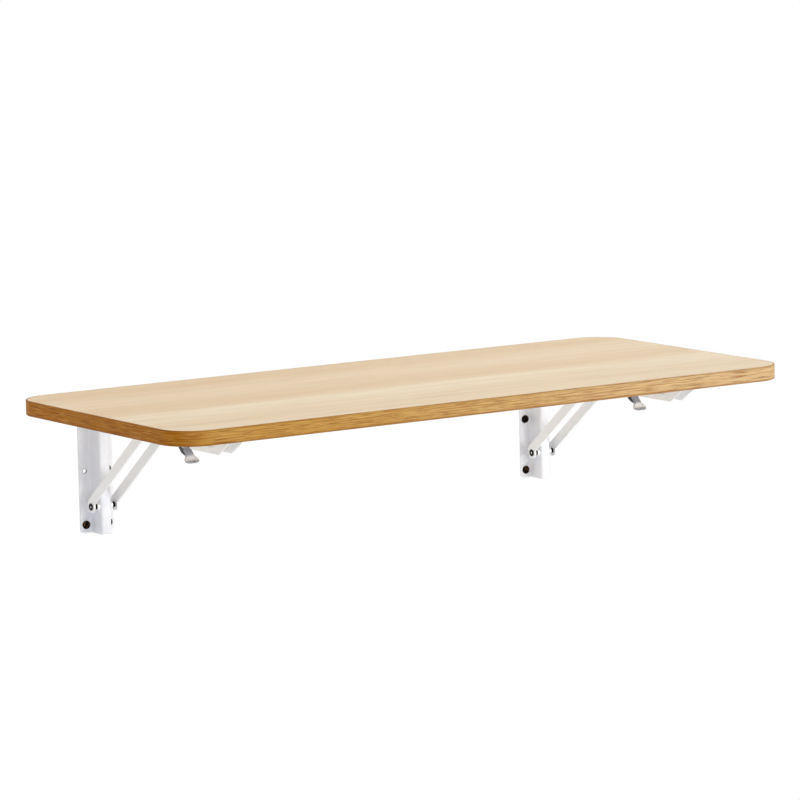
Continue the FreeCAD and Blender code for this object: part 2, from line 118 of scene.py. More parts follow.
def arc(radius: float, start: float, end: float, steps: int) -> Array:
    """Points radius * (cos a, sin a) of an arc, with a in degrees from start to end."""
    angle = np.radians(np.linspace(start, end, steps + 1))
    return radius * np.stack([np.cos(angle), np.sin(angle)], -1)


def grid_quads(rows: int, columns: int, wrap_rows: bool, wrap_columns: bool) -> Array:
    """Quads of a grid of points numbered row by row.

    Args:
        rows: Number of rows.
        columns: Number of points in a row.
        wrap_rows: Whether the last row joins the first.
        wrap_columns: Whether the last column joins the first.

    Returns:
        Four point numbers per quad.
    """
    i = np.arange(rows if wrap_rows else rows - 1)[:, None]
    j = np.arange(columns if wrap_columns else columns - 1)[None, :]
    below, beside = (i + 1) % rows, (j + 1) % columns
    corners = (i * columns + j, i * columns + beside, below * columns + beside, below * columns + j)
    return np.stack([np.broadcast_to(c, (i.size, j.size)) for c in corners], -1).reshape(-1, 4)


def make_mesh(name: str, points: Array, faces: Array) -> Mesh:
    """New mesh.

    Args:
        name: Its name.
        points: Positions, points x 3.
        faces: Point numbers, faces x corners.

    Returns:
        The mesh.
    """
    mesh = bpy.data.meshes.new(name)
    mesh.from_pydata(points, [], faces)
    return mesh


@contextmanager
def reworked(mesh: Mesh) -> Iterator[bmesh.types.BMesh]:
    """Opens a mesh for changes in a with statement, and writes them back after it.

    Args:
        mesh: The mesh.

    Returns:
        The open copy.
    """
    work = bmesh.new()
    work.from_mesh(mesh)
    yield work
    work.to_mesh(mesh)
    work.free()


def weld(mesh: Mesh, distance: float = 1e-7) -> None:
    """Merges doubled points, drops the faces that this empties and turns the rest outwards.

    Args:
        mesh: The mesh.
        distance: How near to each other doubled points are.
    """
    with reworked(mesh) as work:
        bmesh.ops.remove_doubles(work, verts=work.verts, dist=distance)
        bmesh.ops.dissolve_degenerate(work, edges=work.edges, dist=distance)
        bmesh.ops.recalc_face_normals(work, faces=work.faces)


def shade(mesh: Mesh, crease: float = CREASE) -> None:
    """Smooth shading, with edges steeper than the crease, in degrees, kept sharp."""
    mesh.polygons.foreach_set("use_smooth", np.ones(len(mesh.polygons), bool))
    mesh.set_sharp_from_angle(angle=math.radians(crease))


def surface(points: Array, wrap_rows: bool = False) -> Mesh:
    """Closed smooth mesh of a two-parameter surface, its poles and seams welded.

    Args:
        points: Positions, rows x columns x 3, where the last column joins the first.
        wrap_rows: Whether the last row joins the first too.

    Returns:
        The mesh.
    """
    quads = grid_quads(*points.shape[:2], wrap_rows, True)
    mesh = make_mesh("surface", points.reshape(-1, 3), quads)
    weld(mesh)
    shade(mesh)
    return mesh


def joined(meshes: list[Mesh]) -> Mesh:
    """One smooth mesh that holds several, not welded to each other.

    Args:
        meshes: The meshes.

    Returns:
        The mesh that holds them.
    """
    whole = bpy.data.meshes.new("joined")
    with reworked(whole) as work:
        for mesh in meshes:
            work.from_mesh(mesh)
    shade(whole)
    return whole


def turned(profile: Array, axis: Axis, centre: Array, segments: int) -> Mesh:
    """Surface of revolution: each profile point (r, h) is a circle of radius r at height h.

    Args:
        profile: Points (radius, height), from one pole to the other or as a closed ring.
        axis: How the piece lies.
        centre: Where height 0 lies.
        segments: Points round each circle.

    Returns:
        The closed mesh.
    """
    angle = np.linspace(0, TURN, segments, endpoint=False)
    radius, height = profile[:, 0:1], profile[:, 1:2]
    level = np.broadcast_to(height, (len(profile), segments))
    local = np.stack([radius * np.cos(angle), radius * np.sin(angle), level], -1)
    ring = profile[0, 0] > 0 and profile[-1, 0] > 0
    return surface(local @ np.array(axis.value) + centre, wrap_rows=ring)


def swept(section: Array, path: Array, side: Array) -> Mesh:
    """A closed section carried along a path, with both ends capped flat.

    Each section point (a, b) lies at path + a * side + b * normal, where normal is
    the path's direction crossed with side.

    Args:
        section: Ring of points (a, b), the same all along or one ring per path point.
        path: Points of the path.
        side: One sideways unit vector per path point.

    Returns:
        The closed mesh.
    """
    normal = np.cross(unit(np.gradient(path, axis=0)), side)
    rings = np.broadcast_to(section, (len(path), *section.shape[-2:]))
    caps = np.broadcast_to(rings[[0, -1]].mean(axis=1, keepdims=True), rings[:2].shape)
    rings = np.concatenate([caps[:1], rings, caps[1:]])
    ends = np.concatenate([[0], np.arange(len(path)), [len(path) - 1]])
    across = rings[..., 0:1] * side[ends][:, None]
    return surface(path[ends][:, None] + across + rings[..., 1:2] * normal[ends][:, None])


def rounded_path(corners: Array, radii: Floats, step: float) -> Array:
    """Path of evenly spaced points, whose bends are arcs tangent to the runs on both sides.

    An arc of radius r that turns by b starts r * tan(b / 2) before its corner.

    Args:
        corners: Points (depth, z) of the unrounded path.
        radii: Radius at each corner between the ends.
        step: About how far apart the path's points are.

    Returns:
        Points (depth, z) of the path.
    """
    route = [corners[:1]]
    for before, here, after, radius in zip(corners, corners[1:], corners[2:], radii):
        into, out = unit(here - before), unit(after - here)
        bend = math.atan2(into[0] * out[1] - into[1] * out[0], float(into @ out))
        start = here - into * radius * math.tan(abs(bend) / 2)
        centre = start + math.copysign(radius, bend) * np.array([-into[1], into[0]])
        first = math.degrees(math.atan2(*(start - centre)[::-1]))
        route.append(centre + arc(radius, first, first + math.degrees(bend), BEND_STEPS))
    path = np.concatenate([*route, corners[-1:]])
    lengths = lengths_along(path)
    places = np.linspace(0, lengths[-1], round(lengths[-1] / step) + 1)
    return np.stack([np.interp(places, lengths, column) for column in path.T], -1)


@dataclass(frozen=True)
class BracketPlan:
    """Where a bracket's axes lie, as (depth, z), and its rows of wall screws.

    Its middle plane is half the spacing from X = 0, and the screws' columns are a
    column's distance from that plane.
    """

    half_spacing: float = 336 * MM
    column: float = 16 * MM
    hinge: Pair = (18.5 * MM, 66.7 * MM)
    pivot: Pair = (18.5 * MM, -43.3 * MM)
    slider: Pair = (152.0 * MM, 66.7 * MM)
    lever: Pair = (180.9 * MM, 57.3 * MM)

    def spot(self, hand: Hand, place: Pair, x: float = 0.0) -> Array:
        """Point at (depth, z) on a bracket, x off its middle plane."""
        return np.array([hand.value * self.half_spacing + x, -place[0], place[1]])


PLAN = BracketPlan()


# ---- finishes
def linear(code: str) -> tuple[float, float, float, float]:
    """Linear colour of an sRGB hex code.

    Args:
        code: Colour such as '#e9d6bc'.

    Returns:
        Red, green, blue and alpha from 0 to 1.
    """
    parts = [int(code[k : k + 2], 16) / 255 for k in (1, 3, 5)]
    levels = [p / 12.92 if p <= 0.04045 else ((p + 0.055) / 1.055) ** 2.4 for p in parts]
    return (*levels, 1.0)


def add(
    tree: Tree, kind: str, inputs: Inputs | None = None, out: str | int = 0, **settings: object
) -> Socket | None:
    """Adds one shader node with its settings and links.

    Args:
        tree: Tree that gets the node.
        kind: Node type without its "ShaderNode" prefix.
        inputs: Value or output socket for each named or numbered input.
        out: Name or number of the output to give back.
        settings: Properties of the node itself.

    Returns:
        The output socket, or None from a node that has no outputs.
    """
    node = tree.nodes.new(f"ShaderNode{kind}")
    for name, value in settings.items():
        setattr(node, name, value)
    for name, value in (inputs or {}).items():
        if isinstance(value, Socket):
            tree.links.new(value, node.inputs[name])
        else:
            node.inputs[name].default_value = value
    return node.outputs[out] if node.outputs else None


def cells(size_mm: Triple) -> list[float]:
    """Scale at which coordinates in metres grow by 1 with each pattern cell."""
    return [1 / (size * MM) for size in size_mm]


Folds = tuple[tuple[str, Floats], ...]
HOLES: Folds = (("X", (PLAN.half_spacing, PLAN.column)), ("Z", ()))  # open holes of the plates
BORE: Folds = (("Y", (PLAN.pivot[0],)), ("Z", (-PLAN.pivot[1],)))  # axis of the pivot rivets


@dataclass(frozen=True)
class Layer:
    """A colour laid over another: none of it at the low level, its whole amount at the high."""

    low: float = 0.35
    high: float = 0.7
    colour: str = "#000000"
    amount: float = 1.0
    mode: str = "MIX"

    def level(self, tree: Tree, place: Socket) -> Socket:
        """The value that the low and high levels are compared with."""
        raise NotImplementedError

    def over(self, tree: Tree, place: Socket, base: object) -> Socket:
        """The layer over another colour.

        Args:
            tree: Gets the nodes.
            place: Coordinates of the finish.
            base: Colour or socket under the layer.

        Returns:
            The mixed colour.
        """
        span = {"From Min": self.low, "From Max": self.high, "To Max": self.amount}
        levels = {"Value": self.level(tree, place), **span}
        share = add(tree, "MapRange", levels, "Result", interpolation_type="SMOOTHSTEP")
        inputs = {"Factor": share, "A": base, "B": linear(self.colour)}
        return add(tree, "Mix", inputs, "Result", data_type="RGBA", blend_type=self.mode)


@dataclass(frozen=True)
class Grain(Layer):
    """A layer that follows a noise, from 0 to 1, whose cells have a real size."""

    size_mm: Triple = (1, 1, 1)
    detail: float = 2.0
    roughness: float = 0.5

    def level(self, tree: Tree, place: Socket) -> Socket:
        """The noise.

        Args:
            tree: Gets the nodes.
            place: Coordinates in metres.

        Returns:
            The noise's value.
        """
        spot = add(tree, "Mapping", {"Vector": place, "Scale": cells(self.size_mm)})
        inputs = {"Scale": 1.0, "Detail": self.detail, "Roughness": self.roughness}
        return add(tree, "TexNoise", {"Vector": spot, **inputs}, "Fac")


@dataclass(frozen=True)
class Fade(Layer):
    """A layer that follows one coordinate, or the distance from an axis, in metres.

    Each coordinate c with folds p, q is taken as ||c| - p| - q; without folds it stays as
    it is. Several coordinates together give the distance, the root of their summed squares.
    """

    source: str = ""  # a Texture Coordinate output, or none for the finish's own place
    folds: Folds = (("Z", ()),)

    def level(self, tree: Tree, place: Socket) -> Socket:
        """The coordinate or distance.

        Args:
            tree: Gets the nodes.
            place: Coordinates of the finish.

        Returns:
            The value.
        """
        spot = add(tree, "TexCoord", out=self.source) if self.source else place
        parts = add(tree, "SeparateXYZ", {"Vector": spot}).node.outputs
        folded = {}
        for name, offsets in self.folds:
            folded[name] = parts[name]
            for offset in offsets:
                size = add(tree, "Math", {0: folded[name]}, operation="ABSOLUTE")
                folded[name] = add(tree, "Math", {0: size, 1: offset}, operation="SUBTRACT")
        if len(folded) == 1:
            return folded[name]
        flat = add(tree, "CombineXYZ", folded)
        return add(tree, "VectorMath", {0: flat}, "Value", operation="LENGTH")


@dataclass(frozen=True)
class Finish:
    """What every finish has: names, a surface, and a base colour under layers of others."""

    name: str
    slot: str
    base: str = "#ffffff"
    layers: tuple[Layer, ...] = ()
    roughness: float = 0.5
    ior: float = 1.5
    metallic: float = 0.0
    specular: float = 0.5
    relief: Grain | None = None
    relief_mm: float = 0.05
    relief_strength: float = 0.15

    def material(self) -> bpy.types.Material:
        """The finish as a material, made once and then shared.

        Returns:
            The material.
        """
        known = bpy.data.materials.get(self.name)
        if known:
            return known
        made = bpy.data.materials.new(self.name)
        made.use_nodes = True
        tree = made.node_tree
        tree.nodes.clear()
        place = self.place(tree)
        colour = self.ground(tree, place)
        for layer in self.layers:
            colour = layer.over(tree, place, colour)
        inputs = {
            "Base Color": colour,
            "Roughness": self.roughness,
            "IOR": self.ior,
            "Metallic": self.metallic,
            "Specular IOR Level": self.specular,
        }
        if self.relief:
            bump = {"Height": self.relief.level(tree, place), "Distance": self.relief_mm * MM}
            inputs["Normal"] = add(tree, "Bump", {**bump, "Strength": self.relief_strength})
        add(tree, "OutputMaterial", {"Surface": add(tree, "BsdfPrincipled", inputs)})
        return made

    def place(self, tree: Tree) -> Socket:
        """Coordinates that the pattern follows, in metres."""
        return add(tree, "TexCoord", out="Object")

    def ground(self, tree: Tree, place: Socket) -> object:
        """Colour or socket under the layers."""
        return linear(self.base)


@dataclass(frozen=True)
class OakLaminate(Finish):
    """Melamine-faced oak print: pale staves with long straight grain and a silky matt film."""

    name: str = "oak_print_melamine"
    slot: str = "oak_laminate"
    roughness: float = 0.46
    specular: float = 0.4
    relief: Grain = Grain(size_mm=(24, 1.3, 300))
    base: str = "#eddbbc"
    tan: str = "#dbb786"
    # Depth at which each stave's tone is met, and that tone's share of tan.
    staves_mm: tuple[Pair, ...] = (
        (0, 0.42),
        (48, 0.7),
        (78, 0.45),
        (130, 0.26),
        (160, 0.5),
        (200, 0.72),
        (234, 0.45),
        (240, 0.02),
        (275, 0.0),
        (300, 0.2),
        (352, 0.45),
        (358, 0.25),
        (400, 0.25),
    )
    tan_right: Pair = (0.35, 0.82)  # X, and how strong the staves are from there on
    tan_left: Pair = (-0.3, 1.1)
    drift: Grain = Grain(size_mm=(330, 120, 400))
    drift_mm: float = 10.0
    layers: tuple[Layer, ...] = (
        Grain(0.42, 0.7, "#dbb786", 0.3, size_mm=(260, 13, 300)),
        Grain(0.5, 0.72, "#c9a26f", 0.28, size_mm=(150, 4.5, 300)),
        # Real pores are 0.3 mm wide and are drawn wider to show.
        Grain(0.52, 0.76, "#c9a26f", 0.28, size_mm=(40, 1.5, 300)),
    )

    def place(self, tree: Tree) -> Socket:
        """X, a depth that wanders by the drift so that the grain does, and Z.

        Args:
            tree: Gets the nodes.

        Returns:
            The coordinates.
        """
        spot = super().place(tree)
        parts = add(tree, "SeparateXYZ", {"Vector": spot}).node.outputs
        sway = self.drift_mm * MM
        levels = {"Value": self.drift.level(tree, spot), "To Min": -sway, "To Max": sway}
        swayed = {0: add(tree, "MapRange", levels), 1: parts["Y"]}
        depth = add(tree, "Math", swayed, operation="SUBTRACT")
        return add(tree, "CombineXYZ", {"X": parts["X"], "Y": depth, "Z": parts["Z"]})

    def ground(self, tree: Tree, place: Socket) -> Socket:
        """Staves across the depth, weaker to the right.

        Args:
            tree: Gets the nodes.
            place: The wandering coordinates.

        Returns:
            The colour.
        """
        parts = add(tree, "SeparateXYZ", {"Vector": place}).node.outputs
        depth = self.staves_mm[-1][0]
        share = add(tree, "MapRange", {"Value": parts["Y"], "From Max": depth * MM})
        staves = add(tree, "ValToRGB", {"Fac": share})
        elements = staves.node.color_ramp.elements
        while len(elements) < len(self.staves_mm):
            elements.new(0.5)
        for element, (edge, tone) in zip(elements, self.staves_mm):
            element.position = edge / depth
            element.color = (tone, tone, tone, 1)
        (right, weak), (left, strong) = self.tan_right, self.tan_left
        span = {"From Min": right, "From Max": left, "To Min": weak, "To Max": strong}
        levels = {"Value": parts["X"], **span}
        strength = add(tree, "MapRange", levels, interpolation_type="SMOOTHSTEP")
        tone = add(tree, "Math", {0: staves, 1: strength}, operation="MULTIPLY")
        inputs = {"Factor": tone, "A": linear(self.base), "B": linear(self.tan)}
        return add(tree, "Mix", inputs, "Result", data_type="RGBA")


@dataclass(frozen=True)
class OakEdgeBand(Finish):
    """Oak-print ABS edge band: golden brown, with dark and light streaks along the strip.

    Its brown left end is painted shade, and it turns gold and then paler gold to the right as
    painted light; its rims are browner.
    """

    name: str = "oak_print_abs_band"
    slot: str = "oak_edge_band"
    uv_name: str = "along_strip"
    specular: float = 0.12
    relief: Grain = Grain(size_mm=(13, 0.95, 1))
    # The brown base stays only at the left end, as painted shade there.
    base: str = "#ae6c00"
    layers: tuple[Layer, ...] = (
        # Gold from just inside the left end on; the brown left of it is painted shade.
        Fade(-0.452, -0.402, "#be9042", source="Object", folds=(("X", ()),)),
        # Paler gold growing towards the right: painted light.
        Fade(-0.32, 0.42, "#d4b586", source="Object", folds=(("X", ()),)),
        Grain(0.48, 0.68, "#e4b868", 0.38, size_mm=(34, 1.3, 1), roughness=0.6),
        Grain(0.46, 0.62, "#a0600f", 0.4, size_mm=(80, 1.5, 1), roughness=0.6),
        # Real pores are 0.3 mm wide and are drawn wider to show.
        Grain(0.5, 0.62, "#a87236", 0.62, "MULTIPLY", (38, 1.0, 1), roughness=0.6),
        Fade(3.4 * MM, 1.4 * MM, "#8f560f", 0.55, folds=(("Y", ()),)),
        Fade(15.8 * MM, 17.9 * MM, "#8a5a1a", 0.3, folds=(("Y", ()),)),
    )

    def place(self, tree: Tree) -> Socket:
        """The length along the strip and the height on it."""
        return add(tree, "UVMap", uv_map=self.uv_name)


@dataclass(frozen=True)
class Chipboard(Finish):
    """Raw pressed chipboard: pale flakes of mixed browns."""

    name: str = "raw_chipboard"
    slot: str = "chipboard"
    roughness: float = 0.9
    base: str = "#b98f5c"
    light: str = "#e0c08d"
    flake_mm: Triple = (3, 3, 1.2)

    def ground(self, tree: Tree, place: Socket) -> Socket:
        """Flake-sized cells in two browns.

        Args:
            tree: Gets the nodes.
            place: Object coordinates.

        Returns:
            The colour.
        """
        spot = add(tree, "Mapping", {"Vector": place, "Scale": cells(self.flake_mm)})
        flakes = add(tree, "TexVoronoi", {"Vector": spot, "Scale": 1.0}, "Color")
        browns = {"Factor": flakes, "A": linear(self.base), "B": linear(self.light)}
        return add(tree, "Mix", browns, "Result", data_type="RGBA")


@dataclass(frozen=True)
class PowderCoat(Finish):
    """White polyester powder coat on sheet steel: satin, with a faint orange-peel skin."""

    name: str = "white_powder_coat"
    slot: str = "white_powder_coat"
    roughness: float = 0.38
    relief: Grain = Grain(size_mm=(1.6, 1.6, 1.6), detail=1.0)
    relief_mm: float = 0.04
    relief_strength: float = 0.25
    base: str = "#f0f2f8"
    layers: tuple[Layer, ...] = (Grain(0.35, 0.7, "#e8ebf3", size_mm=(30, 30, 30)),)


@dataclass(frozen=True)
class PlateCoat(PowderCoat):
    """The same coat on the wall plates, grey in and round the middle row's screw holes: painted
    shade of the holes, and their bare cut edges.
    """

    name: str = "white_powder_coat_drilled"
    layers: tuple[Layer, ...] = (
        *PowderCoat.layers,
        # Grey in and round the middle screw holes: painted shade of the holes, and their bare cut
        # edges.
        Fade(3.45 * MM, 3.15 * MM, "#8e9094", folds=HOLES),
    )


@dataclass(frozen=True)
class PlatedSteel(Finish):
    """Zinc-plated steel: bright grey metal with duller clouds."""

    name: str = "zinc_plated_steel"
    slot: str = "zinc_steel"
    roughness: float = 0.36
    metallic: float = 1.0
    base: str = "#c9cbce"
    layers: tuple[Layer, ...] = (
        Grain(0.35, 0.7, "#8f9296", size_mm=(2.5, 2.5, 2.5), detail=3.0),
    )


@dataclass(frozen=True)
class LeverSteel(Finish):
    """Hardened plated sheet: smoky drawn streaks, painted shade on its flanks, a painted reflection
    on its thumb pad, a lip.

    The flanks are where the surface's normal has a large part along X; the pad's painted reflection
    stands for the bright room it mirrors, and the lip is darker grey.
    """

    name: str = "hardened_plated_sheet"
    slot: str = "lever_steel"
    roughness: float = 0.34
    metallic: float = 0.75
    base: str = "#cbcedb"
    layers: tuple[Layer, ...] = (
        Grain(0.35, 0.7, "#8b8d99", size_mm=(0.9, 16, 16), detail=3.0),
        # Painted shade: the flanks, whose normal lies along X, darkened.
        Fade(0.55, 0.85, "#2b292f", 0.92, source="Normal", folds=(("X", (0.0,)),)),
        # Painted reflection: the thumb pad below the bend, lightened as if mirroring the bright
        # room.
        Fade(46.5 * MM, 43.0 * MM, "#eef3ff"),
        Fade(39.6 * MM, 37.4 * MM, "#8c8a90", 0.8),
    )


@dataclass(frozen=True)
class BlackOxide(Finish):
    """Black-oxide screw steel: near black and glossy, with brown patches painted as a bronze sheen.
    """

    name: str = "black_oxide_steel"
    slot: str = "black_screws"
    roughness: float = 0.24
    metallic: float = 0.9
    base: str = "#0a0706"
    layers: tuple[Layer, ...] = (
        # Brown patches: a painted bronze sheen standing for highlights.
        Grain(0.56, 0.68, "#7a5230", size_mm=(2.4, 2.4, 2.4), detail=3.0),
    )


@dataclass(frozen=True)
class RivetSteel(BlackOxide):
    """Dark rivet steel, light grey in and round the bore of each rolled end."""

    name: str = "dark_rivet_steel"
    slot: str = "zinc_steel"
    layers: tuple[Layer, ...] = (
        Fade(1.98 * MM, 1.53 * MM, "#b9babc", folds=BORE),
    )


OAK = OakLaminate()
BAND = OakEdgeBand()
CORE = Chipboard()
WHITE = PowderCoat()
PLATE = PlateCoat()
ZINC = PlatedSteel()
LEVER_STEEL = LeverSteel()
SPRING_STEEL = PlatedSteel(name="drawn_spring_wire", slot="spring_steel", base="#9a9c9f")
BLACK = BlackOxide()
RIVET = RivetSteel()


# ---- pieces
def add_piece(
    node: str, work: str, mesh: Mesh, finish: Finish, body: str, prefix: str = ""
) -> bpy.types.Object:
    """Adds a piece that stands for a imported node.

    Args:
        node: The node, whose name starts the piece's name.
        work: How the piece is made, which ends its name.
        mesh: Its mesh, in place.
        finish: What it is made of.
        body: The body that it rides on.
        prefix: What the piece's name leaves out of the node's.

    Returns:
        The new object.
    """
    name = f"{node.removeprefix(prefix)}_{work}"
    mesh.name = name
    mesh.materials.append(finish.material())
    thing = placed(name, mesh)
    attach(thing, body)
    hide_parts(node)
    LOG.info("%s: %d faces on %s", name, len(mesh.polygons), body)
    return thing


@dataclass
class EdgeBand:
    """The strip round the board: a rounded section carried round the board's outline."""

    corner_radius: float = 45 * MM
    thickness: float = 2 * MM
    edge_radius: float = 1 * MM
    edge_steps: int = 6
    corner_steps: int = 24
    run_step: float = 20 * MM
    crease: float = 50.0

    def outline(self) -> tuple[Array, Array, Array]:
        """Outline of the board: four quarter circles, each followed by a straight run.

        Returns:
            Points, outward normals, and the length along the closed outline at each point.
        """
        low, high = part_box("edge_band")
        middle = np.array([(low.x + high.x) / 2, (low.y + high.y) / 2])
        half = np.array([high.x - low.x, high.y - low.y]) / 2 - self.corner_radius
        corners = (((1, 1), (-1, 0)), ((-1, 1), (0, -1)), ((-1, -1), (1, 0)), ((1, -1), (0, 1)))
        points, normals = [], []
        for turn, (signs, heading) in enumerate(corners):
            normal = arc(1.0, 90 * turn, 90 * (turn + 1), self.corner_steps)
            corner = middle + half * np.array(signs) + self.corner_radius * normal
            run = half[turn % 2] * 2
            steps = int(run / self.run_step)
            share = np.linspace(0, 1, steps + 1)[1:-1, None]
            points += [corner, corner[-1] + share * np.array(heading) * run]
            normals += [normal, np.repeat(normal[-1:], steps - 1, axis=0)]
        places = np.concatenate(points)
        return places, np.concatenate(normals), lengths_along(np.concatenate([places, places[:1]]))

    def section(self) -> Array:
        """Section of the strip: flat inside, with rounded outside edges.

        Returns:
            Closed ring of points (inset from the outline, height).
        """
        low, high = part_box("edge_band")
        height, radius, steps = high.z - low.z, self.edge_radius, self.edge_steps
        bottom = arc(radius, 270, 180, steps) + radius
        top = arc(radius, 180, 90, steps) + [radius, height - radius]
        inside = np.array([[self.thickness, height], [self.thickness, 0.0]])
        face = np.linspace(radius, height - radius, steps)[1:-1]
        outside = np.stack([np.zeros_like(face), face], -1)
        return np.concatenate([bottom, outside, top, inside])

    def build(self) -> None:
        """Adds the band, with a UV map of the length along it and the height on it."""
        places, outward, length = self.outline()
        section = self.section()
        rows, columns = len(places), len(section)
        level = places[:, None] - outward[:, None] * section[None, :, 0:1]
        height = section[None, :, 1:2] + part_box("edge_band")[0].z
        points = np.concatenate([level, np.broadcast_to(height, (rows, columns, 1))], -1)
        quads = grid_quads(rows, columns, True, True)
        mesh = make_mesh("band", points.reshape(-1, 3), quads)
        row, column = quads // columns, quads % columns
        wrapped = (row == 0) & (row.max(axis=1, keepdims=True) == rows - 1)
        along = np.where(wrapped, length[-1], length[row])
        places = np.stack([along, section[column, 1]], -1).astype(np.float32)
        mesh.uv_layers.new(name=BAND.uv_name).data.foreach_set("uv", places.ravel())
        weld(mesh)
        shade(mesh, self.crease)
        add_piece("edge_band", "strip", mesh, BAND, "leaf")


@dataclass
class TableTop:
    """The board: a chipboard core between two laminate sheets, and its edge band."""

    sheets: tuple[tuple[str, Finish], ...] = (
        ("board_core", CORE),
        ("top_facing", OAK),
        ("underside_facing", OAK),
    )

    def build(self) -> None:
        """Finishes the flat sheets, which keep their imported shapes, and adds the band."""
        for node, finish in self.sheets:
            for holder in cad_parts[node].material_slots:
                holder.material = finish.material()
            LOG.info("%s: kept, finished as %s", node, finish.name)
        EdgeBand().build()


@dataclass(frozen=True)
class PanScrew:
    """A pan-head screw with a cross recess: domed head, neck and helical thread to a point."""

    axis: Axis
    head_radius: float
    head_height: float
    side_height: float
    shank_radius: float
    neck_length: float
    length: float
    point: float
    pitch: float
    recess_span: float
    recess_width: float
    recess_depth: float
    dome_power: float = 2.6
    rim_chamfer: Pair = (0.96, 0.25 * MM)
    neck_share: float = 0.9
    thread_depth: float = 0.22
    ridge_slope: float = 2.6
    taper_power: float = 0.8
    rows_per_turn: int = 6
    slot_lines: Floats = (0.92, 1.12, 2.0)
    span_lines: Floats = (0.6, 0.8, 0.97, 1.03)
    rim_lines: Floats = (0.68, 0.8, 0.9, 0.96, 1.0)
    slot_reach: float = 1.02

    def top_grid(self) -> Array:
        """The head's top as a height field over a square grid squeezed into a disc.

        Grid point (a, b) from -1 to 1 lies at x = a * sqrt(1 - b * b / 2) and
        y = b * sqrt(1 - a * a / 2), times the head's radius. Its height is a dome,
        less the recess where the point is inside the cross. Grid lines lie close to
        the cross's sides and ends, and to the rim.

        Returns:
            Positions, grid lines x grid lines x 3.
        """
        slot = self.recess_width / 2 / self.head_radius
        span = self.recess_span / 2 / self.head_radius
        near_slot, near_span = np.array(self.slot_lines) * slot, np.array(self.span_lines) * span
        half = np.concatenate([[0], near_slot, near_span, self.rim_lines])
        lines = np.concatenate([-half[:0:-1], half])
        a, b = np.meshgrid(lines, lines, indexing="ij")
        x, y = a * np.sqrt(1 - b * b / 2), b * np.sqrt(1 - a * a / 2)
        reach = np.clip(np.hypot(x, y), 0, 1)
        crown = self.head_height - self.side_height
        height = self.side_height + crown * np.sqrt(1 - reach**self.dome_power)
        near, wide = np.minimum(abs(x), abs(y)), np.maximum(abs(x), abs(y))
        sunk = np.where(near < self.slot_reach * slot, np.sqrt(np.clip(1 - wide / span, 0, 1)), 0)
        radius = self.head_radius
        return np.stack([x * radius, y * radius, height - self.recess_depth * sunk], -1)

    def body_rows(self, angle: Array) -> Array:
        """The head's side, the neck and the thread.

        On the thread the radius at angle t and depth d is the shank's, less a flank that
        grows with how far the fraction of d / pitch + t / turn is from a half, and it
        tapers to the point.

        Args:
            angle: Angle of each point of a ring.

        Returns:
            One ring per height, heights x angles x 3.
        """
        inset, chamfer = self.rim_chamfer
        head, neck = self.head_radius, self.neck_share * self.shank_radius
        plain_radius = np.array([head, head, inset * head, neck, neck])
        plain_height = np.array([self.side_height, chamfer, 0, 0, -self.neck_length])
        run = self.length - self.neck_length
        down = np.linspace(0, run, int(run / self.pitch * self.rows_per_turn) + 1)[1:, None]
        phase = (down / self.pitch + angle / TURN) % 1
        ridge = 1 - self.thread_depth * np.clip(abs(phase - 0.5) * self.ridge_slope, 0, 1)
        taper = np.clip((run - down) / self.point, 0, 1) ** self.taper_power
        plain = np.broadcast_to(plain_radius[:, None], (len(plain_radius), len(angle)))
        radius = np.concatenate([plain, self.shank_radius * ridge * taper])
        height = np.concatenate([plain_height[:, None], -self.neck_length - down])
        level = np.broadcast_to(height, radius.shape)
        return np.stack([radius * np.cos(angle), radius * np.sin(angle), level], -1)

    def mesh(self, seat: Array, turn: float) -> Mesh:
        """One screw.

        Args:
            seat: Middle of the face that the head rests on.
            turn: Angle of the cross, in degrees.

        Returns:
            The closed mesh.
        """
        top = self.top_grid()
        count = len(top)
        rim = np.concatenate([top[:-1, 0], top[-1, :-1], top[:0:-1, -1], top[0, :0:-1]])
        body = self.body_rows(np.arctan2(rim[:, 1], rim[:, 0]))
        head_quads = grid_quads(count, count, False, False)
        body_quads = grid_quads(len(body), len(rim), False, True) + count * count
        points = np.concatenate([top.reshape(-1, 3), body.reshape(-1, 3)])
        cos, sin = math.cos(math.radians(turn)), math.sin(math.radians(turn))
        spun = points @ np.array([[cos, sin, 0], [-sin, cos, 0], [0, 0, 1]])
        points = spun @ np.array(self.axis.value) + seat
        mesh = make_mesh("screw", points, np.concatenate([head_quads, body_quads]))
        weld(mesh)
        shade(mesh)
        return mesh


WALL_SCREW = PanScrew(
    Axis.OUT_OF_WALL,
    head_radius=5.3 * MM,
    head_height=3.2 * MM,
    side_height=0.9 * MM,
    shank_radius=2.25 * MM,
    neck_length=1.8 * MM,
    length=37.8 * MM,
    point=6.8 * MM,
    pitch=2.0 * MM,
    recess_span=5.4 * MM,
    recess_width=1.1 * MM,
    recess_depth=1.6 * MM,
)
BOARD_SCREW = PanScrew(
    Axis.DOWN,
    head_radius=3.6 * MM,
    head_height=1.9 * MM,
    side_height=0.6 * MM,
    shank_radius=1.9 * MM,
    neck_length=2.0 * MM,
    length=15.0 * MM,
    point=2.5 * MM,
    pitch=1.5 * MM,
    recess_span=3.6 * MM,
    recess_width=0.8 * MM,
    recess_depth=0.9 * MM,
)


@dataclass
class BracketPart:
    """What the sub-assemblies of one bracket share."""

    hand: Hand


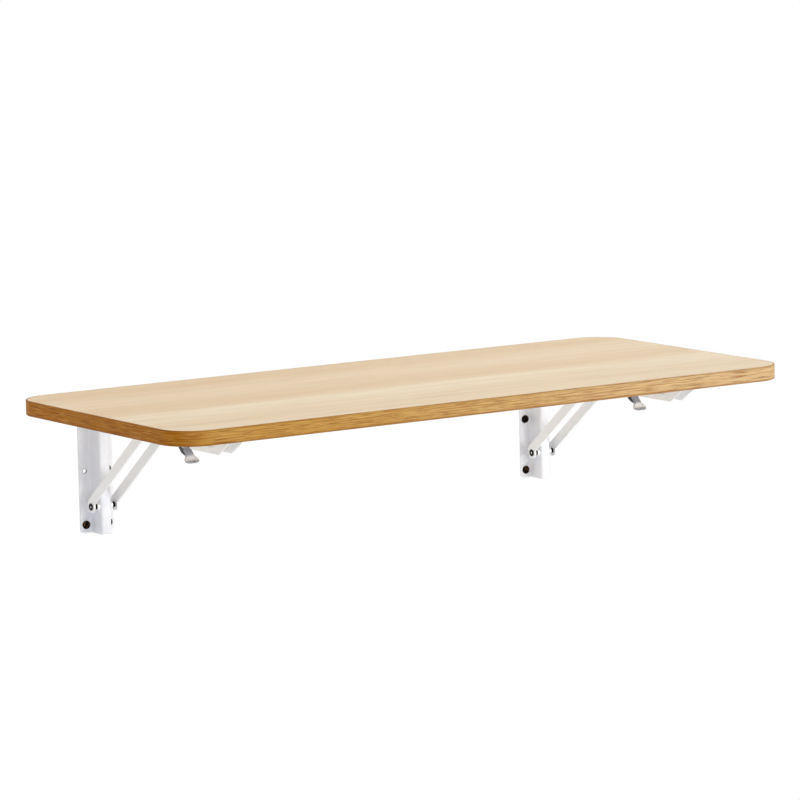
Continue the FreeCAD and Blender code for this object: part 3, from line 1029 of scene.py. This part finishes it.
def domed_head(radius: float, seat: float, thickness: float, squareness: float = 3.0) -> Array:
    """Profile of a head from its seat to its pole.

    Over an edge a quarter as high as the head, the crown is a superellipse:
    r = radius * cos(t) ** (2 / squareness), h = crown * sin(t) ** (2 / squareness).

    Args:
        radius: The head's radius.
        seat: Height of the face under it.
        thickness: Its height.
        squareness: 2 for a round crown, more for a squarer one.

    Returns:
        Points (radius, height).
    """
    edge, chamfer, steps = 0.25 * thickness, 0.1 * MM, 8
    cos, sin = (arc(1.0, 0, 90, steps) ** (2 / squareness)).T
    crown = np.stack([radius * cos, seat + edge + (thickness - edge) * sin], -1)
    crown[-1, 0] = 0
    return np.concatenate([[[radius - chamfer, seat]], crown])


@dataclass
class PinsAndRivets(BracketPart):
    """The turned pieces of one bracket; each head is a pair of its radius and thickness."""

    hinge_radius: float = 4.0 * MM
    hinge_seat: float = 10.6 * MM
    hinge_head: Pair = (6.0 * MM, 1.6 * MM)
    rivet_radius: float = 3.0 * MM
    shoulder_radius: float = 3.6 * MM
    shoulder_end: float = 15.35 * MM
    bar_outside: float = 17.4 * MM
    rivet_seat: float = 17.7 * MM
    rivet_head: Pair = (4.6 * MM, 1.2 * MM)
    rivet_bore: float = 1.7 * MM
    rivet_edge: float = 0.15 * MM
    dimple: float = 0.9 * MM
    end_gap: float = 0.05 * MM
    end_squareness: float = 2.3
    spacer: Pair = (7.5 * MM, 10.8 * MM)
    spacer_radius: float = 5.6 * MM
    slider_radius: float = 3.5 * MM
    slider_end: float = 15.1 * MM
    slider_chamfer: float = 0.5 * MM
    collar: Pair = (10.6 * MM, 13.6 * MM)
    collar_radius: float = 5.5 * MM
    ring_chamfer: float = 0.25 * MM
    lever_pin_radius: float = 1.5 * MM
    lever_pin_seat: float = 10.3 * MM
    lever_pin_head: Pair = (2.6 * MM, 0.8 * MM)
    rim_steps: int = 12
    segments: int = 40
    fine_segments: int = 48

    def headed(self, radius: float, seat: float, head: Pair) -> Array:
        """Half a straight pin with a domed head."""
        return np.concatenate([[[radius, 0.0], [radius, seat]], domed_head(head[0], seat, head[1])])

    def rolled(self) -> Array:
        """Half a shouldered rivet with tubular ends, each rim half an ellipse round the bore.

        Returns:
            Points (radius, height).
        """
        outer, rise = self.rivet_head
        edge = self.rivet_edge
        middle, width = (outer + self.rivet_bore) / 2, (outer - self.rivet_bore) / 2
        rim = arc(1.0, 0, 180, self.rim_steps) * [width, rise - edge]
        start = [
            (self.shoulder_radius, 0.0),
            (self.shoulder_radius, self.shoulder_end - edge),
            (self.shoulder_radius - edge, self.shoulder_end),
            (self.rivet_radius, self.shoulder_end),
            (self.rivet_radius, self.rivet_seat),
            (outer - edge, self.rivet_seat),
        ]
        floor = self.rivet_seat + rise - self.dimple
        bore = [(self.rivet_bore - edge, floor), (0.0, floor + edge)]
        return np.concatenate([start, rim + [middle, self.rivet_seat + edge], bore])

    def riveted(self) -> Array:
        """One of the slider pin's riveted ends in the bars.

        Returns:
            Points (radius, height).
        """
        radius, thickness = self.rivet_head
        inside, outside = self.shoulder_end + self.end_gap, self.bar_outside
        shank = [[0.0, inside], [self.rivet_radius, inside], [self.rivet_radius, outside]]
        return np.concatenate([shank, domed_head(radius, outside, thickness, self.end_squareness)])

    def ring(self, inner: float, outer: float, run: Pair) -> Array:
        """A collar with chamfered rims.

        Args:
            inner: Radius of the hole.
            outer: Radius of the collar.
            run: Where it starts and ends along the axis.

        Returns:
            Closed ring of points (radius, height).
        """
        c = self.ring_chamfer
        start, end = run
        near = [(inner, start + c), (inner + c, start), (outer - c, start), (outer, start + c)]
        far = [(outer, end - c), (outer - c, end), (inner + c, end), (inner, end - c)]
        return np.array(near + far)

    def build(self) -> None:
        """Turns each profile on its axis and again mirrored, as one piece where they meet."""
        end = self.hand.label
        wall, brace, slider = "wall_mount", f"brace_{end}", f"slider_{end}"
        hinge = self.headed(self.hinge_radius, self.hinge_seat, self.hinge_head)
        lever = self.headed(self.lever_pin_radius, self.lever_pin_seat, self.lever_pin_head)
        spacer = self.ring(self.shoulder_radius, self.spacer_radius, self.spacer)
        collar = self.ring(self.slider_radius, self.collar_radius, self.collar)
        radius, tip, chamfer = self.slider_radius, self.slider_end, self.slider_chamfer
        pin = [(radius, 0.0), (radius, tip - chamfer), (radius - chamfer, tip), (0.0, tip)]
        plain, fine = self.segments, self.fine_segments
        rows = (
            ("hinge_pin", "turned", hinge, PLAN.hinge, plain, ZINC, wall),
            ("pivot_rivet", "rolled", self.rolled(), PLAN.pivot, fine, RIVET, wall),
            ("pivot_spacers", "turned", spacer, PLAN.pivot, fine, WHITE, wall),
            ("brace_end_rivets", "domed", self.riveted(), PLAN.slider, plain, ZINC, brace),
            ("slider_pin", "turned", np.array(pin), PLAN.slider, plain, ZINC, slider),
            ("slider_collars", "turned", collar, PLAN.slider, fine, WHITE, slider),
            ("lever_pin", "turned", lever, PLAN.lever, plain, ZINC, "leaf"),
        )
        for kind, work, half, place, segments, finish, body in rows:
            centre = PLAN.spot(self.hand, place)
            mirrored = half * [1, -1]
            parts = [mirrored, half] if half[0, 1] else [np.concatenate([mirrored[::-1], half])]
            mesh = joined([turned(part, Axis.ALONG_WALL, centre, segments) for part in parts])
            add_piece(f"{kind}_{end}", work, mesh, finish, body, prefix="brace_")


@dataclass
class Screws(BracketPart):
    """The wall screws and board screws of one bracket, each turned to an angle of its own."""

    plate_front: float = 1.8 * MM
    rows: Triple = (68 * MM, 0.0, -68 * MM)
    web_underside: float = 80.4 * MM
    board_depths: Floats = (45.5 * MM, 138.63 * MM, 231.77 * MM, 324.9 * MM)
    wall_turn: float = 12.0
    turn_step: float = 37.0

    def build(self) -> None:
        """Adds both rows; the outer hole of the wall's middle row stays empty."""
        places = [(x, z) for x in (-PLAN.column, PLAN.column) for z in self.rows]
        used = [(x, z) for x, z in places if z or x * self.hand.value < 0]
        wall = [PLAN.spot(self.hand, (self.plate_front, z), x) for x, z in used]
        board = [PLAN.spot(self.hand, (depth, self.web_underside)) for depth in self.board_depths]
        rows = (
            ("wall_screws", WALL_SCREW, wall, self.wall_turn, BLACK, "wall_mount"),
            ("board_screws", BOARD_SCREW, board, 0.0, ZINC, "leaf"),
        )
        for kind, screw, seats, start, finish, body in rows:
            turns = [start + self.turn_step * index for index in range(len(seats))]
            screws = joined([screw.mesh(seat, turn) for seat, turn in zip(seats, turns)])
            add_piece(f"{kind}_{self.hand.label}", "pan_head", screws, finish, body)


@dataclass
class ReleaseLever(BracketPart):
    """A stamped lever: upturned catch, flanged strip with ears, dished thumb pad, rolled lip."""

    sheet: float = 1.6 * MM
    edge_bend: float = 1.1 * MM
    catch_top: Pair = (156.7 * MM, 62.8 * MM)
    nose: Pair = (156.7 * MM, 60.5 * MM)
    front: Pair = (216.5 * MM, 60.5 * MM)
    bend: Pair = (231.6 * MM, 45.2 * MM)
    curl: Pair = (237.6 * MM, 38.2 * MM)
    lip: Pair = (240.9 * MM, 36.7 * MM)
    bends: Floats = (1.2 * MM, 4.0 * MM, 4.0 * MM, 3.2 * MM)
    nose_half: float = 4.8 * MM
    strip_half: float = 6.3 * MM
    pad_half: float = 10.1 * MM
    nose_length: float = 16.0 * MM
    nose_flare: float = 4.0 * MM
    flare: float = 6.5 * MM
    pad_round: float = 5.5 * MM
    tip_half: float = 3.4 * MM
    flange: float = 0.3 * MM
    skirt: float = 4.0 * MM
    skirt_run: Floats = (12 * MM, 22 * MM, 32 * MM, 38 * MM)
    ear_drop: float = 4.0 * MM
    ear_half_length: float = 5.0 * MM
    dish: float = 1.3 * MM
    step: float = 0.7 * MM
    bend_steps: int = 6
    web_steps: int = 12

    def widths(self, path: Array) -> tuple[Array, Array, Array]:
        """How the section changes along the lever.

        Half its width widens from nose to strip and eases from strip to pad by
        s * s * (3 - 2 * s), and closes at the tip as a quarter ellipse. The flanges deepen
        to elliptic ears beside the lever's pin and to skirts behind the pad.

        Args:
            path: Middle line of the sheet, as (depth, z).

        Returns:
            Half the middle line's width, the flanges' depth, and the dish's depth.
        """
        length = lengths_along(path)
        left = length[-1] - length
        strip = path[:, 1] >= self.bend[1]
        pin = length[np.argmin(np.where(strip, abs(path[:, 0] - PLAN.lever[0]), np.inf))]
        widen = np.clip((length - self.nose_length) / self.nose_flare, 0, 1)
        spread = np.clip((self.flare + self.pad_round - left) / self.flare, 0, 1)
        spread = spread * spread * (3 - 2 * spread)
        half = self.nose_half + (self.strip_half - self.nose_half) * widen
        half = half + (self.pad_half - self.strip_half) * spread
        close = np.sqrt(np.clip(1 - (1 - np.clip(left / self.pad_round, 0, 1)) ** 2, 0, 1))
        half = self.tip_half + (half - self.tip_half) * close - self.sheet / 2
        ear = np.sqrt(np.clip(1 - ((length - pin) / self.ear_half_length) ** 2, 0, 1))
        skirt = self.skirt * np.interp(left, self.skirt_run, (0, 1, 1, 0))
        flange = self.flange * widen * (1 - spread) + self.ear_drop * ear + skirt
        return half, flange, self.dish * spread * close

    def sections(self, path: Array) -> Array:
        """A channel whose width, flange depth and dish change along the lever.

        The middle line goes up one flange, round a bend, across the web, round a bend
        and down the other flange; the web sinks by dish * (1 - (a / w) ** 2), where w
        is half its width. The sheet lies half its thickness to both sides of that line.

        Args:
            path: Middle line of the sheet.

        Returns:
            One ring of points (a, b) per path point.
        """
        half, flange, dish = (values[:, None] for values in self.widths(path))
        bend = np.linspace(180, 90, self.bend_steps + 1)
        web = np.linspace(-1, 1, self.web_steps + 1)[1:-1]
        turn = np.concatenate([[180], bend, np.full(len(web), 90), 180 - bend[::-1], [0]])
        side = np.ones(len(bend) + 1)
        share = np.concatenate([-side, web, side])
        cos, sin = np.cos(np.radians(turn)), np.sin(np.radians(turn))
        low = np.zeros(len(share))
        low[[0, -1]] = 1
        a = share * (half - self.edge_bend) + self.edge_bend * cos
        b = self.edge_bend * (sin - 1) - low * flange
        b = b - dish * np.clip(1 - (a / half) ** 2, 0, 1)
        offset = np.stack([cos, sin], -1) * self.sheet / 2
        middle = np.stack([a, b], -1)
        return np.concatenate([middle + offset, (middle - offset)[:, ::-1]], axis=1)

    def build(self) -> None:
        """Adds the lever."""
        corners = (self.catch_top, self.nose, self.front, self.bend, self.curl, self.lip)
        path = rounded_path(np.array(corners), self.bends, self.step)
        line = np.array([PLAN.spot(self.hand, place) for place in path])
        side = np.broadcast_to(np.array([1.0, 0.0, 0.0]), line.shape)
        mesh = swept(self.sections(path), line, side)
        end = self.hand.label
        add_piece(f"release_lever_{end}", "stamped", mesh, LEVER_STEEL, f"lever_{end}")


@dataclass
class TorsionSpring(BracketPart):
    """A wire coil round the lever's pin, with a straight leg each way and a hooked end."""

    wire: float = 0.35 * MM
    wire_sides: int = 10
    coil_radius: float = 2.0 * MM
    turns: int = 4
    steps_per_turn: int = 24
    pitch: float = 0.85 * MM
    free_leg: float = 14.0 * MM
    fixed_leg: float = 12.0 * MM
    leg_start: float = 0.4 * MM
    leg_points: int = 8
    elbow: float = 1.0 * MM
    elbow_steps: int = 6
    hook_end: float = 10.3 * MM

    def centre_line(self) -> tuple[Array, Array]:
        """The wire's middle line about the pin, and a reference direction at each point.

        The free leg runs to the wall, the coil is a helix about X whose x grows by one
        pitch a turn, and the fixed leg runs to the room and turns along X.

        Returns:
            Points of the line, and the directions.
        """
        half, top = self.turns * self.pitch / 2, self.coil_radius
        count, steps, end = self.leg_points, self.elbow_steps, self.fixed_leg
        reach = end - self.elbow
        free = np.linspace(self.free_leg, self.leg_start, count)
        fixed = -np.linspace(self.leg_start, reach, count)
        angle = np.linspace(0, TURN * self.turns, self.steps_per_turn * self.turns + 1)
        turn = arc(self.elbow, 180, 90, steps)[1:]
        legs = [np.full(count, x) for x in (-half, half)]
        bent, helix = half + self.elbow + turn[:, 0], self.pitch * angle / TURN - half
        x = np.concatenate([legs[0], helix, legs[1], bent, [self.hook_end]])
        y = np.concatenate([free, -top * np.sin(angle), fixed, -reach - turn[:, 1], [-end]])
        z = np.full(len(x), top)
        z[count : count + len(angle)] = top * np.cos(angle)
        before, after = np.zeros(count + len(angle)), np.ones(steps + 1)
        share = np.concatenate([before, np.linspace(0, 1, count), after])[:, None] * math.pi / 2
        reference = np.cos(share) * np.array([1.0, 0, 0]) + np.sin(share) * np.array([0, 0, 1.0])
        return np.stack([x, y, z], -1), reference

    def build(self) -> None:
        """Adds the spring."""
        line, reference = self.centre_line()
        heading = unit(np.gradient(line, axis=0))
        side = unit(reference - (reference * heading).sum(axis=1, keepdims=True) * heading)
        ring = arc(self.wire, 0, 360, self.wire_sides)[:-1]
        mesh = swept(ring, line + PLAN.spot(self.hand, PLAN.lever), side)
        add_piece(f"lever_spring_{self.hand.label}", "wound", mesh, SPRING_STEEL, "leaf")


@dataclass
class SheetMetal(BracketPart):
    """The wall plate, arm and brace bars, whose cut edges blasting and coating round over."""

    plate_edge: float = 0.25 * MM
    arm_edge: float = 0.17 * MM
    weld_distance: float = 2e-6
    flat: float = 0.5
    crease: float = 28.0
    rounded_from: float = 30.0
    rounding_steps: int = 3

    def shape(self, node: str) -> Mesh:
        """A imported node's surface, its triangles welded and its flats joined into single faces.

        Args:
            node: The node.

        Returns:
            The mesh.
        """
        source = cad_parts[node].data
        points = np.empty(len(source.vertices) * 3, np.float32)
        source.vertices.foreach_get("co", points)
        corners = np.empty(len(source.loops), np.int32)
        source.loops.foreach_get("vertex_index", corners)
        mesh = make_mesh(node, points.reshape(-1, 3), corners.reshape(-1, 3))
        weld(mesh, self.weld_distance)
        with reworked(mesh) as work:
            flat = math.radians(self.flat)
            bmesh.ops.dissolve_limit(work, angle_limit=flat, verts=work.verts, edges=work.edges)
        shade(mesh, self.crease)
        return mesh

    def build(self) -> None:
        """Adds the sheet parts, each with a bevel along its sharp edges."""
        end = self.hand.label
        rows = [
            (f"wall_plate_{end}", PLATE, "wall_mount", self.plate_edge),
            (f"support_arm_{end}", WHITE, "leaf", self.arm_edge),
            (f"brace_bar_{end}_outer", WHITE, f"brace_{end}", self.plate_edge),
            (f"brace_bar_{end}_inner", WHITE, f"brace_{end}", self.plate_edge),
        ]
        for node, finish, body, edge in rows:
            thing = add_piece(node, "coated", self.shape(node), finish, body)
            bevel = thing.modifiers.new("rounded_edges", "BEVEL")
            bevel.width = edge
            bevel.segments = self.rounding_steps
            bevel.limit_method = "ANGLE"
            bevel.angle_limit = math.radians(self.rounded_from)
            bevel.use_clamp_overlap = False
            bevel.harden_normals = True


# ---- studio
def seen(tree: Tree) -> Socket:
    """Which rays see the plain white ground.

    Args:
        tree: Gets the nodes.

    Returns:
        1 for camera, glossy and transmission rays, 0 for light on the object.
    """
    rays = add(tree, "LightPath").node.outputs
    looks = {0: rays["Is Camera Ray"], 1: rays["Is Glossy Ray"]}
    straight = add(tree, "Math", looks, operation="MAXIMUM")
    through = {0: straight, 1: rays["Is Transmission Ray"]}
    return add(tree, "Math", through, operation="MAXIMUM")


@dataclass(frozen=True)
class Softbox:
    """A rectangular lamp: its name, place, width, height and power in watts."""

    name: str
    place: Triple
    width: float
    height: float
    power: float
    aim: Triple = (0.0, -0.2, 0.0)

    def build(self) -> None:
        """Adds the lamp, which faces its aim."""
        data = bpy.data.lights.new(self.name, "AREA")
        data.shape = "RECTANGLE"
        data.size = self.width
        data.size_y = self.height
        data.energy = self.power
        thing = placed(self.name, data)
        thing.location = self.place
        heading = Vector(self.aim) - thing.location
        thing.rotation_euler = heading.to_track_quat("-Z", "Y").to_euler()


@dataclass
class Studio:
    """Wall, floor, lamps and world: a bright, soft room with a white ground."""

    wall_half_width: float = 4.0
    wall_top: float = 2.0
    floor_level: float = -0.75
    room_depth: float = 4.0
    wall_gap: float = 0.2 * MM
    wall_paint: str = "#f4f4f4"
    floor_paint: str = "#ececec"
    sky: float = 0.3
    lamps: tuple[Softbox, ...] = (
        Softbox("key_softbox", (2.2, -3.0, 0.06), 2.4, 1.2, 64),
        Softbox("fill_softbox", (-2.2, -3.0, -0.1), 2.0, 1.2, 27),
        Softbox("top_softbox", (0.0, -0.9, 2.6), 1.6, 1.6, 27),
    )

    def paint(self, name: str, colour: str, blank: bool) -> bpy.types.Material:
        """Matt paint that is clear from behind.

        Args:
            name: The material's name.
            colour: sRGB hex of the paint.
            blank: Whether cameras and mirrors see it plain white.

        Returns:
            The material.
        """
        made = bpy.data.materials.new(name)
        made.use_nodes = True
        tree = made.node_tree
        tree.nodes.clear()
        coat = add(tree, "BsdfDiffuse", {"Color": linear(colour)})
        if blank:
            white = add(tree, "Emission", {"Color": (1, 1, 1, 1), "Strength": 1.0})
            coat = add(tree, "MixShader", {0: seen(tree), 1: coat, 2: white})
        behind = add(tree, "NewGeometry", out="Backfacing")
        face = add(tree, "MixShader", {0: behind, 1: coat, 2: add(tree, "BsdfTransparent")})
        add(tree, "OutputMaterial", {"Surface": face})
        return made

    def world(self) -> None:
        """Sky light, which looks white to the rays that see the ground."""
        world = bpy.data.worlds.new("white_room")
        world.use_nodes = True
        bpy.context.scene.world = world
        tree = world.node_tree
        tree.nodes.clear()
        light = add(tree, "Background", {"Color": (1, 1, 1, 1), "Strength": self.sky})
        white = add(tree, "Background", {"Color": (1, 1, 1, 1), "Strength": 1.0})
        both = add(tree, "MixShader", {0: seen(tree), 1: light, 2: white})
        add(tree, "OutputWorld", {"Surface": both})

    def build(self) -> None:
        """Adds the stage, the lamps and the world."""
        w, top, floor, room = self.wall_half_width, self.wall_top, self.floor_level, self.room_depth
        y = self.wall_gap
        wall = [(-w, y, floor), (w, y, floor), (w, y, top), (-w, y, top)]
        ground = [(-w, y, floor), (-w, -room, floor), (w, -room, floor), (w, y, floor)]
        white = self.paint("matt_white_wall", self.wall_paint, True)
        pale = self.paint("pale_floor", self.floor_paint, False)
        for name, corners, paint in (("stage_wall", wall, white), ("stage_floor", ground, pale)):
            mesh = make_mesh(name, np.array(corners), np.arange(4)[None])
            mesh.materials.append(paint)
            placed(name, mesh)
        for lamp in self.lamps:
            lamp.build()
        self.world()


@dataclass
class Viewpoint:
    """Where the table is looked at from: a long lens, from the left and a little above."""

    yaw: float = 33.52
    pitch: float = 7.933
    roll: float = -1.227
    distance: float = 5.680135
    lens: float = 204.521
    sensor: float = 36.0
    sideways: float = 0.0013826
    upwards: float = 0.0042348
    clip_end: float = 100.0

    def build(self) -> None:
        """Adds the camera, aimed at the middle of the board's top."""
        data = bpy.data.cameras.new("viewpoint")
        data.lens = self.lens
        data.sensor_width = self.sensor
        data.clip_end = self.clip_end
        camera = placed("viewpoint", data)
        low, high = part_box("edge_band")
        place = Matrix.Translation(((low.x + high.x) / 2, (low.y + high.y) / 2, high.z))
        for angle, axis in ((-self.yaw, "Z"), (90 - self.pitch, "X"), (self.roll, "Z")):
            place @= Matrix.Rotation(math.radians(angle), 4, axis)
        back = Vector((-self.sideways, -self.upwards, 1)) * self.distance
        camera.matrix_world = place @ Matrix.Translation(back)
        bpy.context.scene.camera = camera


def main() -> None:
    """Builds every sub-assembly, the studio and the viewpoint."""
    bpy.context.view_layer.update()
    bpy.context.scene.view_settings.view_transform = "Standard"
    TableTop().build()
    for hand in Hand:
        for part in (SheetMetal, PinsAndRivets, Screws, ReleaseLever, TorsionSpring):
            part(hand).build()
    Studio().build()
    Viewpoint().build()


if __name__ == "__main__":
    logging.basicConfig(level=logging.INFO, format="%(message)s")
    main()
